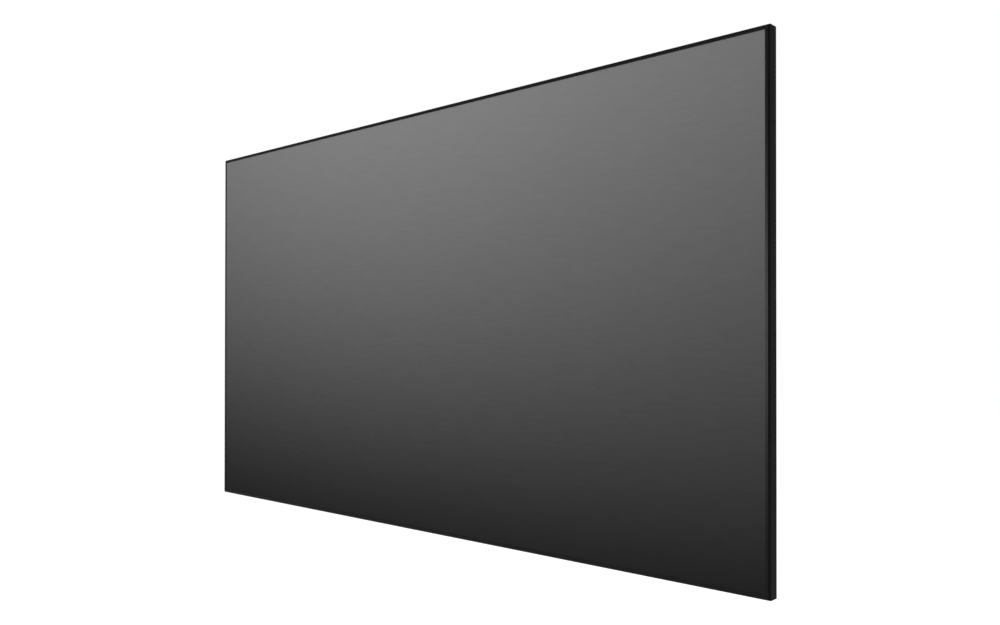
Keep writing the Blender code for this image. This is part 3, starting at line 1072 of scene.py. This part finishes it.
def makeClipFasteners():
    # each fork has a screw through each foot into the rail, and one bolt through its ears and the bar
    for name in ("top", "bottom"):
        side = sides[name]
        start, end = boxOnSide(side, "support_clip_" + name)
        barStart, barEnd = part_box("support_bar")
        v = (start.y + end.y) / 2
        earX = barEnd.x + clearance + clipBolt["ear"]
        shelf = -end.z + clipBolt["ear"]
        shape = bmesh.new()
        for sign in (-1, 1):
            x = sign * (earX + end.x) / 2
            down = Matrix.Rotation(math.radians(180), 4, "X")
            spot = Matrix.Translation((x, v, -shelf)) @ down
            growFastener(shape, side["place"] @ spot, buttonScrew(clipScrew))
        addPiece("clip_screws_" + name, shape, [screwFinish])
        shape = bmesh.new()
        u = -(end.z + start.z) / 2 - clearance / 2
        lie = Matrix.Rotation(math.radians(90), 4, "Y")
        spot = Matrix.Translation((earX, v, -u)) @ lie
        growFastener(shape, side["place"] @ spot, boltRings(2 * earX))
        addPiece("clip_bolt_" + name, shape, [screwFinish])


makeClipFasteners()
print("fasteners made")

# Floor, light and camera

studio = {
    "floorDrop": 0.60,
    "floorSize": 30,
    "floorColour": (0.50, 0.50, 0.50),
    "floorGlow": 0.84,
    "ambient": 0.37,
    "glossAhead": 1.1,
    "glossBehind": 0.31,
    "glossCurve": 2.0,
    "glossFall": 1.2,
    "floorMirrored": 0.8,
    "mirroredFrom": 0.5,
    "mirroredRise": 0.6,
    "mirroredLeast": 0.15,
}


def backdropRays(start):
    # two switches: one is 1 for what is seen straight or through something clear,
    # and the other for what is seen mirrored
    rays = start.tree.nodes.new("ShaderNodeLightPath")
    kinds = ("Is Camera Ray", "Is Transmission Ray", "Is Glossy Ray")
    seen, through, gloss = (Socket(start.tree, rays.outputs[kind]) for kind in kinds)
    return start.maths("MAXIMUM", seen, through), gloss


def makeFloor():
    shape = bmesh.new()
    bmesh.ops.create_grid(shape, x_segments=1, y_segments=1, size=studio["floorSize"] / 2)
    bmesh.ops.translate(shape, verts=shape.verts, vec=(0, 0, low.z - studio["floorDrop"]))
    mesh = bpy.data.meshes.new("floor")
    shape.to_mesh(mesh)
    shape.free()
    floor = bpy.data.objects.new("floor", mesh)
    bpy.context.scene.collection.objects.link(floor)
    constants = {
        "Base Color": (*studio["floorColour"], 1),
        "Roughness": 1.0,
        "Specular IOR Level": 0.0,
        "Emission Color": (1, 1, 1, 1),
    }
    material, start = newFinish("pale_floor", constants)
    shader = material.node_tree.nodes["Principled BSDF"]
    plain, gloss = backdropRays(start)
    # mirrored, the floor is bright ahead of the screen and fades towards the wall
    rise = (0 - start.axis("Y") - studio["mirroredFrom"]) * studio["mirroredRise"]
    front = start.maths("MINIMUM", start.maths("MAXIMUM", rise, studio["mirroredLeast"]), 1.0)
    glow = (plain + gloss * front * studio["floorMirrored"]) * studio["floorGlow"]
    material.node_tree.links.new(glow.output, shader.inputs["Emission Strength"])
    mesh.materials.append(material)


def lightWorld():
    world = bpy.data.worlds.new("studio")
    world.use_nodes = True
    bpy.context.scene.world = world
    tree = world.node_tree
    start = Socket(tree)
    plain, gloss = backdropRays(start)
    direction = start.node("ShaderNodeTexCoord", {}, {}, "Generated")
    towardsWall = start.node("ShaderNodeSeparateXYZ", {}, {0: direction}, "Y")
    upwards = start.node("ShaderNodeSeparateXYZ", {}, {0: direction}, "Z")
    # mirrored, it is brightest ahead of the screen and at the height of the eye
    ahead = start.maths("POWER", start.maths("MAXIMUM", 0 - towardsWall, 0.0), studio["glossCurve"])
    level = studio["glossBehind"] + ahead * (studio["glossAhead"] - studio["glossBehind"])
    mirrored = level * start.maths("MAXIMUM", 1 - upwards * upwards * studio["glossFall"], 0.0)
    other = gloss * mirrored + (1 - gloss) * studio["ambient"]
    strength = plain + (1 - plain) * other
    background = tree.nodes["Background"]
    background.inputs["Color"].default_value = (1, 1, 1, 1)
    tree.links.new(strength.output, background.inputs["Strength"])


makeFloor()
lightWorld()

softboxes = {
    "front_softbox": {
        "place": (-0.1, -2.12, 0.08),
        "aim": (0, 0, 0.1),
        "extent": (1.7, 0.85),
        "power": 35,
    },
    "rear_softbox": {
        "place": (-1.6, 3.0, 1.6),
        "aim": (0, 0, 0),
        "extent": (3.6, 2.4),
        "power": 45,
    },
}


def addSoftbox(name, look):
    lamp = bpy.data.lights.new(name, "AREA")
    lamp.shape = "RECTANGLE"
    lamp.size, lamp.size_y = look["extent"]
    lamp.energy = look["power"]
    box = bpy.data.objects.new(name, lamp)
    bpy.context.scene.collection.objects.link(box)
    box.location = look["place"]
    way = Vector(look["aim"]) - Vector(look["place"])
    box.rotation_euler = way.to_track_quat("-Z", "Y").to_euler()
    box.visible_camera = False


for name, look in softboxes.items():
    addSoftbox(name, look)

viewpoint = {
    "lens": 33.330,
    "sensor": 36,
    "shift": 0.0273,
    "place": (2.0563, -1.9078, -0.0760),
    "turn": (90.394, -0.055, 42.650),
}
lens = bpy.data.cameras.new("photo_view")
lens.lens = viewpoint["lens"]
lens.sensor_width = viewpoint["sensor"]
lens.shift_y = viewpoint["shift"]
camera = bpy.data.objects.new("photo_view", lens)
camera.location = viewpoint["place"]
camera.rotation_euler = [math.radians(angle) for angle in viewpoint["turn"]]
bpy.context.scene.collection.objects.link(camera)
bpy.context.scene.camera = camera
bpy.context.scene.view_settings.view_transform = "Standard"
print("studio set")
